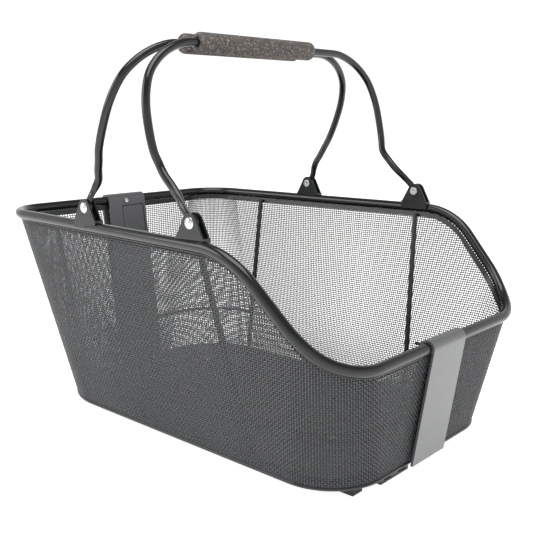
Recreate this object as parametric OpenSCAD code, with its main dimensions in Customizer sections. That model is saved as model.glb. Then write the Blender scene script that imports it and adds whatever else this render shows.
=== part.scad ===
/* [Basket] */
// Length of the rim, along its centre line from end to end
basket_length = 430; // [380:1:480]
// Width of the rim, centre line to centre line, half way along
basket_width = 310; // [280:1:340]
// How much wider each side of the rim gets from its middle to the low end
rim_flare = 12; // [0:0.5:18]
// Height of the rim above the bottom edge at the high end
high_rim = 186; // [165:1:205]
// Height of the rim above the bottom edge at the low end
low_rim = 97; // [85:1:110]
// Corner radius of the rim at the high end
rim_radius_high = 40; // [34:1:60]
// Corner radius of the rim at the low end
rim_radius_low = 46; // [34:1:60]
// Length of the bottom edge
base_length = 376; // [340:1:400]
// Width of the bottom edge
base_width = 236; // [210:1:260]
// How far the bottom edge is set back towards the high end
base_setback = 2; // [0:0.5:6]
// Corner radius of the bottom edge at the high end
base_radius_high = 72; // [50:1:80]
// Corner radius of the bottom edge at the low end
base_radius_low = 51; // [40:1:70]
// Height of the bottom edge above what the basket stands on
base_height = 7; // [6:0.5:12]

/* [Dip of the rim] */
// Where the rim starts to dip, measured back from the low end
dip_start = 131; // [125:1:140]
// Steepest slope of the dip, in degrees
dip_angle = 46.5; // [40:0.5:50]
// Radius of the bend at the top of the dip
dip_top_radius = 70; // [55:1:80]
// Radius of the bend at the foot of the dip
dip_foot_radius = 75; // [55:1:85]

/* [Rim and mesh] */
// Width of the rim bead across the wall
bead_width = 9.4; // [8:0.2:12]
// Height of the rim bead
bead_height = 9.4; // [8:0.2:11]
// Height of the flat band inside the rim
band_height = 4.5; // [3:0.5:9]
// Thickness of the flat band
band_thickness = 1.5; // [1:0.1:2.5]
// Thickness of the woven wire mesh
mesh_thickness = 1.2; // [0.8:0.1:1.8]
// Diameter of the wire round the bottom edge
base_wire = 3.4; // [2.5:0.1:5]
// Gap between the two mesh halves at each seam
mesh_seam = 0.4; // [0.2:0.1:1]

/* [Ribs and braces] */
// Diameter of the upright ribs
rib_diameter = 5; // [4:0.2:6]
// Distance of the high ribs from the high end, at the rim
rib_high_place = 86; // [80:1:110]
// How much nearer the middle the high ribs stand at the floor
rib_high_lean = 5; // [0:1:12]
// How far before the dip the low ribs stand
rib_low_setback = 8; // [3:1:20]
// How much nearer the low end the low ribs stand at the floor
rib_low_lean = 18; // [8:1:20]
// Diameter of the brace wires
brace_diameter = 3.6; // [3:0.2:4]
// Height of the brace at the high end above the bottom edge
brace_high_rise = 46; // [35:1:60]
// Height of the brace at the low end above the bottom edge
brace_low_rise = 51; // [40:1:62]

/* [End straps] */
// Width of the folded sheet strap at each end
strap_width = 50; // [40:1:56]
// Thickness of the strap sheet
strap_thickness = 2; // [1.5:0.1:2.5]
// How far the high strap sits off centre, towards the left side
strap_high_shift = 4; // [0:1:8]
// How far the low strap sits off centre, towards the right side
strap_low_shift = 6; // [0:1:8]
// Width of the window in the inner leg of the high strap
window_width = 30; // [20:1:30]
// Height of the window
window_height = 66; // [50:1:80]
// Gap round the cover plate in the window
window_gap = 0.8; // [0.5:0.1:1.5]
// Radius of the screw shank that holds each strap to the rim
strap_screw = 1.5; // [1.2:0.1:2]

/* [Floor and rack rails] */
// Thickness of the floor sheet
floor_sheet = 2; // [1.5:0.1:3]
// Height of the raised middle of the floor
floor_step = 4; // [3:0.5:6]
// Width of each rack rail
rail_width = 40; // [34:1:46]
// Distance between the inner edges of the two rails
rail_spread = 42; // [36:1:60]
// Radius of the holes for the rack bolts
rack_bolt_hole = 2.75; // [2.2:0.05:3.3]
// Distance between the rack bolts along the basket
rack_bolt_pitch = 120; // [100:5:150]
// Distance between the floor screws along the basket
floor_screw_pitch = 240; // [220:5:260]
// Radius of the floor screws
floor_screw = 2; // [1.5:0.1:2.4]

/* [Handles] */
// Diameter of the bail rod
rod_diameter = 7; // [6:0.2:8]
// Diameter of the grip
grip_diameter = 17; // [15:0.5:20]
// Length of the grip
grip_length = 148; // [120:1:152]
// How far both grips sit off centre, towards the right side
grip_shift = 17; // [0:1:18]
// Height of the pivots above the bottom edge
pivot_rise = 203; // [201:0.5:225]
// Distance of the high pivots from the high end
pivot_high_place = 151; // [145:1:158]
// How far before the dip the low pivots stand
pivot_low_setback = 10.5; // [8:0.5:20]
// How far inside the rim's centre line the high pivots stand, less than 0 outside it
pivot_high_inset = -1; // [-2:0.5:3]
// How far inside the rim's centre line the low pivots stand
pivot_low_inset = 2; // [0:0.5:3]
// Half the width of the bail loop
bail_half_width = 157; // [150:1:165]
// Height of the grips above the pivots
bail_rise = 137; // [128:1:148]
// Radius of the rivet shank
rivet_radius = 3; // [2.5:0.1:3.5]
// Running clearance of the bail eye on the rivet, on the radius
rivet_clearance = 0.05; // [0.02:0.01:0.1]
// Gap between the two ears of a bracket
ear_gap = 4.6; // [4.2:0.1:6]
// Thickness of each ear
ear_thickness = 1.6; // [1.3:0.1:2.4]
// Radius of the rounded top of each ear
ear_radius = 7.5; // [6.5:0.1:8]
// Half the width of an ear's foot on the rim
ear_base = 15; // [11:0.5:16]

/* [Hidden] */

touch = 0.15;              // gap left where two fixed pieces meet
mesh_gap = 0.3;            // gap left between the mesh and a fixed piece that follows it
turn_gap = 0.6;            // side play of a bail eye between its ears
end_steps = 3;             // steps along half of an end
corner_steps = 9;          // steps round a corner
flat_steps = 10;           // steps along the level part of a side
dip_steps = 22;            // steps along the dip of a side
bead_sides = 12;           // sides of the rim bead's section
wire_sides = 8;            // sides of the thin wires' sections
rod_sides = 12;            // sides of the bail rod's section

half_length = basket_length / 2;
dip_x = half_length - dip_start;
dip_drop = high_rim - low_rim;
dip_slant = (dip_drop - (dip_top_radius + dip_foot_radius) * (1 - cos(dip_angle))) / sin(dip_angle);
dip_a = dip_top_radius * sin(dip_angle);
dip_b = dip_a + dip_slant * cos(dip_angle);
dip_c = dip_b + dip_foot_radius * sin(dip_angle);

// Height of the rim above the bottom edge at a distance along the basket
function rim_rise(x) =
    let (d = x - dip_x)
    d <= 0 ? high_rim
    : d < dip_a ? high_rim - dip_top_radius + sqrt(dip_top_radius ^ 2 - d ^ 2)
    : d < dip_b ? high_rim - dip_top_radius * (1 - cos(dip_angle)) - (d - dip_a) * tan(dip_angle)
    : d < dip_c ? low_rim + dip_foot_radius - sqrt(dip_foot_radius ^ 2 - (dip_c - d) ^ 2)
    : low_rim;

// Shares of a side at which its points lie, closer together along the dip
dip_share = (dip_x + half_length - rim_radius_high) / (basket_length - rim_radius_high - rim_radius_low);
side_shares = [
    for (i = [0 : flat_steps - 1]) dip_share * i / flat_steps,
    for (i = [0 : dip_steps - 1]) dip_share + (1 - dip_share) * i / dip_steps
];

// The right half of a round-cornered outline, from the middle of the high end to the middle of the low end
function half_outline(x_high, x_low, half_width, r_high, r_low, flare) =
    let (
        high_end = [for (i = [0 : end_steps - 1]) [x_high, -(half_width - r_high) * i / end_steps]],
        high_corner = [for (i = [0 : corner_steps - 1]) let (a = 180 + 90 * i / corner_steps)
            [x_high + r_high + r_high * cos(a), r_high - half_width + r_high * sin(a)]],
        side = [for (share = side_shares)
            [x_high + r_high + (x_low - r_low - x_high - r_high) * share, -half_width]],
        low_corner = [for (i = [0 : corner_steps - 1]) let (a = 270 + 90 * i / corner_steps)
            [x_low - r_low + r_low * cos(a), r_low - half_width + r_low * sin(a)]],
        low_end = [for (i = [0 : end_steps]) [x_low, -(half_width - r_low) * (1 - i / end_steps)]]
    )
    [for (p = concat(high_end, high_corner, side, low_corner, low_end)) [p.x, p.y * (1 + flare * p.x)]];

flare_rate = rim_flare / (basket_width / 2) / half_length;
top_half = half_outline(
    -half_length, half_length, basket_width / 2, rim_radius_high, rim_radius_low, flare_rate
);
base_x_high = -base_length / 2 - base_setback;
base_x_low = base_length / 2 - base_setback;
base_half = half_outline(base_x_high, base_x_low, base_width / 2, base_radius_high, base_radius_low, 0);
half_count = len(top_half);

// A point on one straight line of the right wall, from the bottom edge (0) to the rim's full height (1)
function wall_at(i, share) =
    let (p = base_half[i] * (1 - share) + top_half[i] * share)
    [p.x, p.y, base_height + share * high_rim];
function rim_share(i, share = 1, tries = 6) =
    tries == 0 ? share : rim_share(i, rim_rise(wall_at(i, share).x) / high_rim, tries - 1);

function unit(v) = v / norm(v);
function mirrored(points) = [for (i = [len(points) - 2 : -1 : 1]) [points[i].x, -points[i].y, points[i].z]];
function ring_of(points) = concat(points, mirrored(points));

rim_half = [for (i = [0 : half_count - 1]) wall_at(i, rim_share(i))];
rise_half = [for (i = [0 : half_count - 1]) unit(wall_at(i, 1) - wall_at(i, 0))];
rim_ring = ring_of(rim_half);
rise_ring = ring_of(rise_half);
base_ring = ring_of([for (i = [0 : half_count - 1]) wall_at(i, base_wire / 2 / high_rim)]);

// Moves a point of a closed ring out of the wall by out, and up along the wall by up
function off_wall(ring, rises, i, out, up) =
    let (
        n = len(ring),
        along = unit(ring[(i + 1) % n] - ring[(i + n - 1) % n]),
        outward = unit(cross(along, rises[i])),
        upward = cross(outward, along)
    )
    ring[i] + outward * out + upward * up;

// A closed solid through rings of points, each ring counter-clockwise as seen from its start
module loft(rings, closed = false) {
    count = len(rings);
    sides = len(rings[0]);
    points = [for (ring = rings) each ring];
    last = closed ? count - 1 : count - 2;
    walls = [for (i = [0 : last], j = [0 : sides - 1])
        let (a = i * sides + j, b = i * sides + (j + 1) % sides,
             c = ((i + 1) % count) * sides + (j + 1) % sides, d = ((i + 1) % count) * sides + j)
        each [[a, b, c], [a, c, d]]];
    start_cap = [for (j = [sides - 1 : -1 : 0]) j];
    end_cap = [for (j = [0 : sides - 1]) (count - 1) * sides + j];
    caps = closed ? [] : [start_cap, end_cap];
    polyhedron(points, concat(walls, caps), convexity = 10);
}

function oval(width, height, sides) =
    [for (j = [0 : sides - 1]) [width / 2 * cos(360 * j / sides), height / 2 * sin(360 * j / sides)]];

module wall_ring(ring, section) {
    last = len(ring) - 1;
    loft([for (i = [0 : last]) [for (s = section) off_wall(ring, rise_ring, i, s.x, s.y)]], closed = true);
}

// Moves a point of the rim out of the wall by out, and up by up along the wall's own straight lines
function on_wall(i, out, up) =
    let (
        n = len(rim_ring),
        along = unit(rim_ring[(i + 1) % n] - rim_ring[(i + n - 1) % n]),
        outward = unit(cross(along, rise_ring[i]))
    )
    rim_ring[i] + outward * out + rise_ring[i] * up / (cross(outward, along) * rise_ring[i]);

// Rim, mesh and bottom edge
mesh_top = -(bead_height / 2 + mesh_gap);
mesh_foot = base_wire + touch;
mesh_rows = 4;                   // rows of facets from the mesh's foot to its top
band_out = -mesh_thickness / 2 - mesh_gap;
band_foot = mesh_top - band_height;

module rim_bead() {
    color("#2b2c2e") wall_ring(rim_ring, oval(bead_width, bead_height, bead_sides));
}

module rim_band() {
    band_in = band_out - band_thickness;
    corners = [[band_out, band_foot], [band_out, mesh_top], [band_in, mesh_top], [band_in, band_foot]];
    color("#232426") loft(
        [for (i = [0 : len(rim_ring) - 1]) [for (c = corners) on_wall(i, c.x, c.y)]],
        closed = true
    );
}

// A point in the mesh's face, from its foot (0) to its top (1)
function mesh_point(i, out, height) =
    let (
        n = len(base_ring),
        along = unit(base_ring[(i + 1) % n] - base_ring[(i + n - 1) % n]),
        foot = wall_at(i, mesh_foot / high_rim) + unit(cross(along, rise_ring[i])) * out
    )
    foot * (1 - height) + on_wall(i, out, mesh_top) * height;

// One half of the mesh wall, as a closed sheet that meets the other half under the end straps
module mesh_half() {
    out = mesh_thickness / 2;
    loft([for (i = [0 : half_count - 1])
        let (
            outside = [for (k = [0 : mesh_rows]) mesh_point(i, out, k / mesh_rows)],
            inside = [for (k = [mesh_rows : -1 : 0]) mesh_point(i, -out, k / mesh_rows)],
            at_seam = i == 0 || i == half_count - 1
        )
        [for (p = concat(outside, inside)) [p.x, at_seam ? -mesh_seam / 2 : p.y, p.z]]]);
}

module mesh_right() {
    color("#3a3b3d") mesh_half();
}

module mesh_left() {
    color("#3a3b3d") mirror([0, 1, 0]) mesh_half();
}

module base_wire_ring() {
    color("#1c1d1f") wall_ring(base_ring, oval(base_wire, base_wire, wire_sides));
}

// Ribs and braces
rib_inset = -band_out + band_thickness + touch + rib_diameter / 2;
rib_head_gap = bead_height / 2 + 5 * touch;

// A point inside the right wall, at a distance along the basket and a height above the bottom edge
function inside_right(x, rise, inset) =
    let (
        wall_lean = atan((rim_half_width(x) - base_width / 2) / high_rim),
        half_width = base_width / 2 + rise * tan(wall_lean)
    )
    [x, -half_width + inset / cos(wall_lean), base_height + rise];

module rod_between(from, to, diameter) {
    run = to - from;
    translate(from)
        rotate([0, acos(run.z / norm(run)), atan2(run.y, run.x)])
            cylinder(d = diameter, h = norm(run), $fn = 32);
}

// Places shared by the ribs, the brackets and the handles
rim_z = base_height + high_rim;
rib_high_x = -half_length + rib_high_place;
rib_low_x = dip_x - rib_low_setback;
pivot_high_x = -half_length + pivot_high_place;
pivot_low_x = dip_x - pivot_low_setback;
pivot_z = base_height + pivot_rise;
function rim_half_width(x) = basket_width / 2 * (1 + flare_rate * x);
pivot_high_y = rim_half_width(pivot_high_x) - pivot_high_inset;
pivot_low_y = rim_half_width(pivot_low_x) - pivot_low_inset;

floor_under = 1;                                         // rise of the floor sheet's underside
floor_edge = base_wire / 2 + 2 * touch;                  // gap from the wall to the floor sheet
floor_lip = floor_edge + 6;                              // inset of the raised middle
floor_top = floor_under + floor_sheet + floor_step;      // rise of the raised middle's top
rib_foot = floor_under + floor_sheet + 4 * touch;        // rise of a rib's lower end, clear of the sheet

module rib(x, lean) {
    rod_between(
        inside_right(x + lean, rib_foot, rib_inset),
        inside_right(x, high_rim - rib_head_gap, rib_inset),
        rib_diameter
    );
}

module rib_high_right() {
    color("#2b2c2e") rib(rib_high_x, rib_high_lean);
}

module rib_high_left() {
    color("#2b2c2e") mirror([0, 1, 0]) rib(rib_high_x, rib_high_lean);
}

module rib_low_right() {
    color("#2b2c2e") rib(rib_low_x, rib_low_lean);
}

module rib_low_left() {
    color("#2b2c2e") mirror([0, 1, 0]) rib(rib_low_x, rib_low_lean);
}

// A round rod along a path. The aim is any direction that the path never runs along, and the
// widths, if any, say how wide the rod is pressed across that direction at each point.
module tube(path, diameter, sides, aim, widths = []) {
    n = len(path);
    loft([for (i = [0 : n - 1])
        let (
            along = unit(path[min(i + 1, n - 1)] - path[max(i - 1, 0)]),
            across = unit(cross(aim, along)),
            over = cross(across, along),
            width = len(widths) == 0 ? 1 : widths[i]
        )
        [for (s = oval(diameter * width, diameter, sides)) path[i] + across * s.x + over * s.y]]);
}

// A brace wire lies against the mesh and runs round one end (-1 high, 1 low), from rib to rib
brace_inset = mesh_thickness / 2 + mesh_gap + brace_diameter / 2;
rib_clear = (rib_diameter + brace_diameter) / 2 + touch;
brace_end_step = 4;              // least distance from a brace's end to its next point

module brace(rise, end_x, side) {
    wall = [for (i = [0 : half_count - 1]) wall_at(i, rise / high_rim)];
    inner = [for (i = [0 : half_count - 1]) if (side * (wall[i].x - end_x) > brace_end_step)
        let (d = i == 0 || i == half_count - 1 ? [0, side, 0] : unit(wall[i + 1] - wall[i - 1]))
        wall[i] + brace_inset * [-d.y, d.x, 0]];
    towards_end = side > 0 ? inner : [for (i = [len(inner) - 1 : -1 : 0]) inner[i]];
    half = concat([inside_right(end_x, rise, brace_inset)], towards_end);
    other = [for (i = [len(half) - 2 : -1 : 0]) [half[i].x, -half[i].y, half[i].z]];
    tube(concat(half, other), brace_diameter, wire_sides, [0, 0, 1]);
}

module brace_high() {
    rib_x = rib_high_x + rib_high_lean * (1 - brace_high_rise / high_rim);
    color("#2b2c2e") brace(brace_high_rise, rib_x - rib_clear, -1);
}

module brace_low() {
    rib_x = rib_low_x + rib_low_lean * (1 - brace_low_rise / high_rim);
    color("#2b2c2e") brace(brace_low_rise, rib_x + rib_clear, 1);
}

// Floor, rails and feet
rail_middle = (rail_spread + rail_width) / 2;
rail_top = base_height + floor_under - touch;
rail_low_end = base_x_low - 3;          // the right rail reaches the low end
rail_short_end = base_x_low - 46;       // the left rail stops short of it
rail_high_end = base_x_high + 40;
pocket_width = 0.26 * rail_width;
pocket_places = [-0.27 * rail_width, 0.25 * rail_width];
pocket_depth = 30;
pocket_floor = 2;
pocket_height = 4;
foot_size = [28, 13];
foot_row = 85.5;
foot_places = [
    [base_x_low - 22, -foot_row],
    [base_x_low - 52, foot_row],
    [base_x_high + 40, -foot_row],
    [base_x_high + 40, foot_row]
];

function floor_outline(inset) =
    let (half = half_outline(base_x_high + inset, base_x_low - inset, base_width / 2 - inset,
                             base_radius_high - inset, base_radius_low - inset, 0))
    concat(half, [for (i = [len(half) - 2 : -1 : 1]) [half[i].x, -half[i].y]]);

module at_rack_bolts() {
    for (x = [-rack_bolt_pitch / 2, rack_bolt_pitch / 2], y = [-rail_middle, rail_middle])
        translate([x, y, 0]) children();
}

module at_floor_screws() {
    for (x = [-floor_screw_pitch / 2, floor_screw_pitch / 2], y = [-rail_middle, rail_middle])
        translate([x, y, 0]) children();
}

module floor_panel() {
    color("#1b1c1e") difference() {
        translate([0, 0, base_height + floor_under]) {
            linear_extrude(floor_sheet) polygon(floor_outline(floor_edge));
            linear_extrude(floor_sheet + floor_step) polygon(floor_outline(floor_lip));
        }
        at_rack_bolts() cylinder(r = rack_bolt_hole, h = 4 * rim_z, center = true, $fn = 48);
        at_floor_screws() cylinder(r = floor_screw + rivet_clearance, h = 4 * rim_z, center = true, $fn = 48);
    }
}

// A rail along the basket's underside, with two pockets open at its low end
module rack_rail(low_end) {
    difference() {
        translate([rail_high_end, -rail_middle - rail_width / 2, 0])
            cube([low_end - rail_high_end, rail_width, rail_top]);
        for (place = pocket_places)
            translate([low_end - pocket_depth, -rail_middle + place - pocket_width / 2, pocket_floor])
                cube([pocket_depth + 1, pocket_width, pocket_height]);
        at_rack_bolts() cylinder(r = rack_bolt_hole, h = 4 * rail_top, center = true, $fn = 48);
        at_floor_screws() translate([0, 0, pocket_floor])
            cylinder(r = floor_screw + rivet_clearance, h = rail_top, $fn = 48);
    }
}

module rack_rail_right() {
    color("#242527") rack_rail(rail_low_end);
}

module rack_rail_left() {
    color("#242527") mirror([0, 1, 0]) rack_rail(rail_short_end);
}

module feet() {
    color("#1a1a1b") for (place = foot_places)
        translate([place.x - foot_size.x / 2, place.y - foot_size.y / 2, 0])
            cube([foot_size.x, foot_size.y, rail_top]);
}

module floor_screws() {
    panel_top = base_height + floor_top;
    color("#8f9194") at_floor_screws() {
        translate([0, 0, pocket_floor + touch])
            cylinder(r = floor_screw, h = panel_top - pocket_floor, $fn = 48);
        translate([0, 0, panel_top + touch / 3]) cylinder(r = 2 * floor_screw, h = floor_screw, $fn = 48);
    }
}

// End straps: a folded sheet over the rim, with one leg outside the mesh and one inside
low_rim_point = rim_half[half_count - 1];
tilt_high = atan((half_length + base_x_high) / high_rim);
tilt_low = atan((half_length - base_x_low) / high_rim);
strap_in = bead_width / 2 + touch;
strap_out = strap_in + strap_thickness;
strap_foot = 16;                 // length of the flange on the floor
outer_end = 2;                   // rise of the outer leg's lower end
cover_top = -7;                  // top of the window, measured from the rim's centre
window_shift = 7;                // how far the window sits off the strap's centre
screw_drop = 2;                  // the strap screw's place below the rim's centre
screw_shift = -2;                // the strap screw's place across the strap

// Places a piece drawn at an end of the rim: x outwards, y across to the left, z up along the wall
module at_low_end() {
    translate([low_rim_point.x, 0, low_rim_point.z]) rotate([0, tilt_low, 0]) children();
}

module at_high_end() {
    translate([-half_length, 0, rim_z]) rotate([0, -tilt_high, 0]) mirror([1, 0, 0]) children();
}

module strap_section(rise, tilt, wall_x) {
    rotate(-tilt) {
        difference() {
            circle(r = strap_out, $fn = 64);
            circle(r = strap_in, $fn = 64);
            translate([-2 * strap_out, -4 * strap_out]) square([4 * strap_out, 4 * strap_out]);
        }
        translate([strap_in, -(rise - outer_end) / cos(tilt)])
            square([strap_thickness, (rise - outer_end) / cos(tilt)]);
        translate([-strap_out, -(rise - floor_top - touch - strap_thickness / 2) / cos(tilt)])
            square([strap_thickness, (rise - floor_top - touch - strap_thickness / 2) / cos(tilt)]);
    }
    translate([wall_x - strap_in - strap_foot, floor_top + touch - rise])
        square([strap_foot, strap_thickness]);
}

module strap_body(rise, tilt, wall_x, shift) {
    translate([0, shift, 0]) rotate([90, 0, 0])
        linear_extrude(strap_width, center = true) strap_section(rise, tilt, wall_x);
}

// Where the wall's middle runs at the height of the flange, seen from the rim
function wall_back(rise, tilt) = -(rise - floor_top) * tan(tilt);

module screw_hole(shift) {
    translate([0, shift + screw_shift, -screw_drop]) rotate([0, -90, 0])
        cylinder(r = strap_screw + rivet_clearance, h = 2 * strap_out, $fn = 48);
}

module window_block(grow, from, thickness, shift) {
    translate([-from, shift + window_shift - window_width / 2 - grow, cover_top - window_height - grow])
        cube([thickness, window_width + 2 * grow, window_height + 2 * grow]);
}

module strap_high() {
    color("#58595b") difference() {
        translate([-half_length, 0, rim_z]) mirror([1, 0, 0])
            strap_body(high_rim, tilt_high, wall_back(high_rim, tilt_high), strap_high_shift);
        at_high_end() window_block(0, strap_out + 1, strap_thickness + 2, strap_high_shift);
        at_high_end() screw_hole(strap_high_shift);
    }
}

module strap_low() {
    rise = low_rim_point.z - base_height;
    color("#58595b") difference() {
        translate([low_rim_point.x, 0, low_rim_point.z])
            strap_body(rise, tilt_low, wall_back(rise, tilt_low), -strap_low_shift);
        at_low_end() screw_hole(-strap_low_shift);
    }
}

// A cover plate that fills the window, held by a rim behind it
module strap_cover_plate() {
    rim_behind = 2;
    rim_sheet = 1.5;
    color("#4b4c4e") at_high_end() {
        window_block(-window_gap, strap_out, strap_thickness + 2 * touch, strap_high_shift);
        window_block(rim_behind, strap_in - touch, rim_sheet, strap_high_shift);
    }
}

module strap_screw_at(shift) {
    screw_head = 1.6 * strap_screw;
    translate([0, shift + screw_shift, -screw_drop]) rotate([0, -90, 0]) {
        translate([0, 0, strap_in]) cylinder(r = strap_screw, h = strap_thickness + touch, $fn = 48);
        difference() {
            translate([0, 0, strap_out + touch / 3]) cylinder(r = screw_head, h = strap_screw, $fn = 48);
            translate([0, 0, strap_out + strap_screw / 2])
                cylinder(r = screw_head / 2, h = strap_screw, $fn = 6);
        }
    }
}

module strap_screws() {
    color("#c3c5c7") {
        at_high_end() strap_screw_at(strap_high_shift);
        at_low_end() strap_screw_at(-strap_low_shift);
    }
}

// Brackets: two ears on a saddle that is welded over the rim bead
saddle_rise = bead_height / 2 + touch;                    // saddle above the rim's centre line
ear_drop = pivot_z - rim_z;                               // pivot above the rim's centre line
ear_foot = 1;                                             // how far an ear reaches below that line
ear_outside = ear_gap / 2 + ear_thickness;

module ear_shape() {
    shoulder = [ear_base, saddle_rise - ear_drop];
    tangent = atan2(shoulder.y, shoulder.x) + acos(ear_radius / norm(shoulder));
    flank = [
        ear_radius * [cos(tangent), sin(tangent)],
        shoulder,
        [ear_base, -ear_drop - ear_foot]
    ];
    circle(r = ear_radius, $fn = 64);
    polygon(concat(flank, [for (i = [2 : -1 : 0]) [-flank[i].x, flank[i].y]]));
}

// A right-hand bracket with its pivot at a place along the basket
module bracket(x, y) {
    difference() {
        translate([x, -y, pivot_z]) {
            for (side = [-1, 1])
                translate([0, side * (ear_gap + ear_thickness) / 2, 0]) rotate([90, 0, 0])
                    linear_extrude(ear_thickness, center = true) ear_shape();
            translate([-ear_base, -ear_outside, -ear_drop + saddle_rise - 2])
                cube([2 * ear_base, 2 * ear_outside, 2 + ear_thickness]);
        }
        translate([x, -rim_half_width(x), rim_z])
            rotate([0, 0, -atan(rim_flare / half_length)]) rotate([0, 90, 0])
                cylinder(d = bead_width + 2 * touch, h = 8 * ear_radius, center = true, $fn = 96);
        translate([x, -y, pivot_z]) rotate([90, 0, 0])
            cylinder(r = rivet_radius + rivet_clearance, h = 4 * ear_gap, center = true, $fn = 64);
    }
}

module bracket_high_right() {
    color("#2d2e30") bracket(pivot_high_x, pivot_high_y);
}

module bracket_high_left() {
    color("#2d2e30") mirror([0, 1, 0]) bracket(pivot_high_x, pivot_high_y);
}

module bracket_low_right() {
    color("#2d2e30") bracket(pivot_low_x, pivot_low_y);
}

module bracket_low_left() {
    color("#2d2e30") mirror([0, 1, 0]) bracket(pivot_low_x, pivot_low_y);
}

// A right-hand rivet: a domed head outside and a formed tail inside
head_radius = rivet_radius + 2;
head_rise = 2.4;
head_ball = (head_radius ^ 2 + head_rise ^ 2) / (2 * head_rise);
tail_radius = rivet_radius + 1;
tail_length = 1.6;
tail_dimple = 1.2;

module rivet(x, y) {
    translate([x, -y, pivot_z]) rotate([90, 0, 0]) {
        cylinder(r = rivet_radius, h = 2 * ear_outside + touch, center = true, $fn = 64);
        intersection() {
            translate([0, 0, ear_outside + touch / 3]) cylinder(r = head_radius, h = head_rise, $fn = 64);
            translate([0, 0, ear_outside + head_rise - head_ball]) sphere(r = head_ball, $fn = 96);
        }
        difference() {
            translate([0, 0, -ear_outside - touch / 3 - tail_length])
                cylinder(r = tail_radius, h = tail_length, $fn = 64);
            translate([0, 0, -ear_outside - touch / 3 - tail_length - 1])
                cylinder(r = tail_dimple, h = 1.8, $fn = 32);
        }
    }
}

module rivet_pair(x, y) {
    rivet(x, y);
    mirror([0, 1, 0]) rivet(x, y);
}

module rivets_high() {
    color("#d6d7d8") rivet_pair(pivot_high_x, pivot_high_y);
}

module rivets_low() {
    color("#d6d7d8") rivet_pair(pivot_low_x, pivot_low_y);
}

// Bails: both loops have the same shape seen along the basket, and lean together until the grips meet
grip_meet = 2;                   // where the two grips meet, along the basket
grip_apart = 1.4;                // gap between the two grips
grip_low_x = grip_meet + (grip_diameter + grip_apart) / 2;
grip_high_x = grip_meet - (grip_diameter + grip_apart) / 2;
lean_steep = 1.08;               // how far the low bail leans per unit of height near its pivots
lean_upright = 0.21;             // and near its grip
lean_blend = 2.5;                // softness of the bend between the two
high_bow = 3.5;                  // how far the high bail bows beyond a straight lean
flat_end = 13;                   // height of the rod's pressed ends above the pivots
flat_blend = 6;                  // height over which they turn round again
eye_radius = 6.2;
eye_thickness = ear_gap - 2 * turn_gap;

// Half of the loop: half width and height above the pivots, from a pivot to the end of the straight top
function loop_half(pivot_y) = [
    [pivot_y, 0],
    [pivot_y, 9],
    [pivot_y - 2.5, 16],
    [pivot_y - 3.8, 24],
    [(pivot_y + bail_half_width) / 2 - 3.5, 32],
    [bail_half_width - 3.6, 41],
    [bail_half_width - 1, 51],
    [bail_half_width, 66],
    [bail_half_width - 0.8, 84],
    [bail_half_width - 4, bail_rise - 39],
    [bail_half_width - 9.5, bail_rise - 27],
    [bail_half_width - 17.5, bail_rise - 18],
    [bail_half_width - 27.5, bail_rise - 10.5],
    [bail_half_width - 40, bail_rise - 4.5],
    [bail_half_width - 53, bail_rise - 0.9],
    [bail_half_width - 64, bail_rise]
];

// A curve through points, with a few steps from each point to the next
function curve(points, steps) =
    let (n = len(points))
    [for (i = [0 : n - 2], k = [0 : steps - 1])
        let (
            t = k / steps,
            a = points[max(i - 1, 0)],
            b = points[i],
            c = points[i + 1],
            d = points[min(i + 2, n - 1)]
        )
        (2 * b + (c - a) * t + (2 * a - 5 * b + 4 * c - d) * t ^ 2 + (3 * b - a - 3 * c + d) * t ^ 3) / 2,
     points[n - 1]];

function lean_high(h) =
    let (share = h / bail_rise)
    share * (grip_high_x - pivot_high_x) + 4 * high_bow * share * (1 - share);
function lean_low(h) =
    let (
        steep = lean_steep * h,
        upright = pivot_low_x - grip_low_x - lean_upright * (bail_rise - h)
    )
    -((steep + upright) / 2 - sqrt(((steep - upright) / 2) ^ 2 + lean_blend ^ 2));

// Width of the rod at a height above the pivots, as a share of its diameter
function end_width(h) =
    let (pressed = eye_thickness / rod_diameter, share = (h - flat_end) / flat_blend)
    pressed + (1 - pressed) * max(0, min(1, share));

module bail(pivot_x, pivot_y, high) {
    half = [for (p = curve(loop_half(pivot_y), 2))
        [pivot_x + (high ? lean_high(p.y) : lean_low(p.y)), -p.x, pivot_z + p.y]];
    other = [for (i = [len(half) - 1 : -1 : 0]) [half[i].x, -half[i].y, half[i].z]];
    difference() {
        union() {
            path = concat(half, other);
            widths = [for (p = path) end_width(p.z - pivot_z)];
            tube(path, rod_diameter, rod_sides, [1, 0, 0], widths);
            for (side = [-1, 1])
                translate([pivot_x, side * pivot_y, pivot_z]) rotate([90, 0, 0])
                    cylinder(r = eye_radius, h = eye_thickness, center = true, $fn = 64);
        }
        translate([pivot_x, 0, pivot_z]) rotate([90, 0, 0])
            cylinder(r = rivet_radius + rivet_clearance, h = 4 * bail_half_width, center = true, $fn = 64);
    }
}

module bail_high() {
    color("#202123") bail(pivot_high_x, pivot_high_y, true);
}

module bail_low() {
    color("#202123") bail(pivot_low_x, pivot_low_y, false);
}

// A cork and rubber sleeve with rounded ends on the straight top of a bail
grip_round = 3.6;
grip_bore = rod_diameter / 2 + 0.1;

module grip(x) {
    outside = grip_diameter / 2;
    translate([x, -grip_shift, pivot_z + bail_rise]) rotate([90, 0, 0])
    rotate_extrude($fn = 96) difference() {
        union() {
            translate([0, -grip_length / 2 + grip_round]) square([outside, grip_length - 2 * grip_round]);
            translate([0, -grip_length / 2]) square([outside - grip_round, grip_length]);
            for (end = [-1, 1]) translate([outside - grip_round, end * (grip_length / 2 - grip_round)])
                circle(r = grip_round, $fn = 48);
        }
        translate([-1, -grip_length]) square([1 + grip_bore, 2 * grip_length]);
    }
}

module grip_high() {
    color("#55504c") grip(grip_high_x);
}

module grip_low() {
    color("#55504c") grip(grip_low_x);
}

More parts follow.
